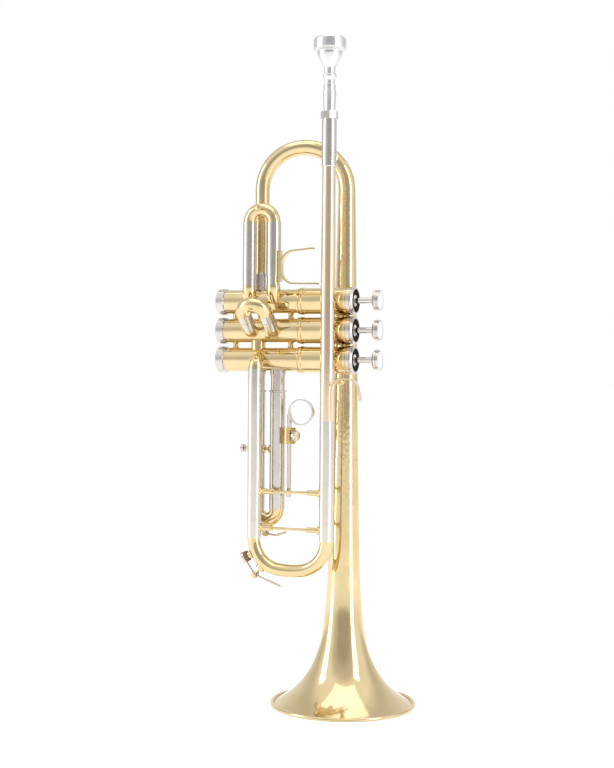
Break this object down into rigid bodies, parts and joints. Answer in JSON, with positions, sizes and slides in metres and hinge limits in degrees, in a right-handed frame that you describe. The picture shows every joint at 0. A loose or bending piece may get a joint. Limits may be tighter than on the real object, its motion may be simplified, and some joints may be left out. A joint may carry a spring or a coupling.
{
  "type": "trumpet",
  "caption": "Piston-valve trumpet standing on its bell, with pull slides, water keys, finger hooks and a removable cup mouthpiece.",
  "frame": {"origin": "centre of the bell mouth, in the plane that the rim stands on", "axes": "+Z from the bell mouth towards the mouthpiece, +X from the valves towards the finger buttons, -Y towards the leadpipe side"},
  "size_m": [0.1672, 0.1275, 0.5515],
  "materials": {
    "lacquered_brass": "polished brass under clear lacquer",
    "rose_brass": "polished rose brass under clear lacquer",
    "nickel_silver": "polished nickel silver",
    "nickel_plate": "bright nickel plate",
    "silver_plate": "bright silver plate",
    "monel": "lapped nickel-copper alloy",
    "spring_steel": "drawn spring wire",
    "rim_wire_steel": "drawn steel wire",
    "black_felt": "pressed black felt",
    "pearl": "polished mother-of-pearl disc",
    "cork": "dense brown cork",
    "guide_plastic": "moulded nylon"
  },
  "bodies": {
    "horn": {"bell_flare": "lacquered_brass", "bell_rim_wire": "rim_wire_steel", "bell_stem": "lacquered_brass", "bell_ferrule": "nickel_silver", "valve_casing_1": "lacquered_brass", "valve_casing_2": "lacquered_brass", "valve_casing_3": "lacquered_brass", "casing_posts": "lacquered_brass", "top_caps": "nickel_plate", "cap_felts": "black_felt", "bottom_caps": "nickel_plate", "valve_guides": "guide_plastic", "port_tubes": "lacquered_brass", "leadpipe": "rose_brass", "mouthpiece_receiver": "nickel_silver", "tuning_slide_sleeves": "nickel_silver", "valve_3_elbow": "lacquered_brass", "slide_1_knuckles": "lacquered_brass", "slide_1_fixed_tubes": "nickel_silver", "slide_2_knuckles": "lacquered_brass", "slide_2_sleeves": "nickel_silver", "slide_3_fixed_tubes": "nickel_silver", "pinky_hook": "rose_brass", "braces": "lacquered_brass"},
    "plunger_1": {"piston_1": "monel", "valve_spring_1": "spring_steel", "button_1": "nickel_plate", "pearl_1": "pearl"},
    "plunger_2": {"piston_2": "monel", "valve_spring_2": "spring_steel", "button_2": "nickel_plate", "pearl_2": "pearl"},
    "plunger_3": {"piston_3": "monel", "valve_spring_3": "spring_steel", "button_3": "nickel_plate", "pearl_3": "pearl"},
    "tuning_slide": {"tuning_slide_legs": "nickel_silver", "tuning_slide_bow": "lacquered_brass", "tuning_slide_brace": "lacquered_brass", "tuning_key_saddle": "lacquered_brass"},
    "tuning_key": {"tuning_key_lever": "nickel_silver", "tuning_key_cork": "cork", "tuning_key_spring": "spring_steel"},
    "first_slide": {"slide_1_crook": "lacquered_brass", "slide_1_legs": "nickel_silver", "thumb_hook": "lacquered_brass"},
    "second_slide": {"slide_2_crook": "lacquered_brass", "slide_2_legs": "nickel_silver"},
    "third_slide": {"slide_3_crook": "lacquered_brass", "slide_3_legs": "nickel_silver", "slide_3_brace": "lacquered_brass", "ring_clamp": "lacquered_brass", "slide_3_key_saddle": "lacquered_brass"},
    "third_slide_key": {"slide_3_key_lever": "nickel_silver", "slide_3_key_cork": "cork", "slide_3_key_spring": "spring_steel"},
    "ring_rod": {"finger_ring": "nickel_plate"},
    "ring_screw": {"clamp_screw": "nickel_plate"},
    "slide_screw": {"stop_screw": "nickel_plate"},
    "cup_mouthpiece": {"mouthpiece": "silver_plate"}
  },
  "joints": [
    {"name": "valve_1_press", "type": "slide", "parent": "horn", "child": "plunger_1", "axis": [-1, 0, 0], "range_m": [0, 0.0165], "stiffness_N_per_m": 150, "springref_m": -0.025, "deforming": ["valve_spring_1"]},
    {"name": "valve_2_press", "type": "slide", "parent": "horn", "child": "plunger_2", "axis": [-1, 0, 0], "range_m": [0, 0.0165], "stiffness_N_per_m": 150, "springref_m": -0.025, "deforming": ["valve_spring_2"]},
    {"name": "valve_3_press", "type": "slide", "parent": "horn", "child": "plunger_3", "axis": [-1, 0, 0], "range_m": [0, 0.0165], "stiffness_N_per_m": 150, "springref_m": -0.025, "deforming": ["valve_spring_3"]},
    {"name": "tuning_slide_pull", "type": "slide", "parent": "horn", "child": "tuning_slide", "axis": [0, 0, -1], "range_m": [0, 0.04]},
    {"name": "tuning_key_open", "type": "hinge", "parent": "tuning_slide", "child": "tuning_key", "pos_m": [-0.06433, -0.0398, 0.11062], "axis": [0, -1, 0], "range_deg": [0, 14], "stiffness_Nm_per_rad": 0.004, "springref_deg": -45.84},
    {"name": "first_slide_pull", "type": "slide", "parent": "horn", "child": "first_slide", "axis": [0, 0, 1], "range_m": [0, 0.025]},
    {"name": "second_slide_pull", "type": "slide", "parent": "horn", "child": "second_slide", "axis": [0, -0.7431, 0.6691], "range_m": [0, 0.006]},
    {"name": "third_slide_pull", "type": "slide", "parent": "horn", "child": "third_slide", "axis": [0, 0, -1], "range_m": [0, 0.03]},
    {"name": "third_slide_key_open", "type": "hinge", "parent": "third_slide", "child": "third_slide_key", "pos_m": [-0.0623, -0.0219, 0.1432], "axis": [0, -1, 0], "range_deg": [0, 14], "stiffness_Nm_per_rad": 0.002, "springref_deg": -45.84},
    {"name": "ring_rod_slide", "type": "slide", "parent": "third_slide", "child": "ring_rod", "axis": [0, 0, 1], "range_m": [0, 0.018]},
    {"name": "ring_screw_turn", "type": "hinge", "parent": "third_slide", "child": "ring_screw", "pos_m": [-0.0399, -0.0265, 0.22645], "axis": [0.9376, -0.3478, 0], "continuous": true},
    {"name": "slide_screw_turn", "type": "hinge", "parent": "third_slide", "child": "slide_screw", "pos_m": [-0.077, -0.0219, 0.2146], "axis": [-1, 0, 0], "continuous": true},
    {"name": "mouthpiece_lift_out", "type": "slide", "parent": "horn", "child": "cup_mouthpiece", "axis": [0, 0, 1], "range_m": [0, 0.03]}
  ]
}
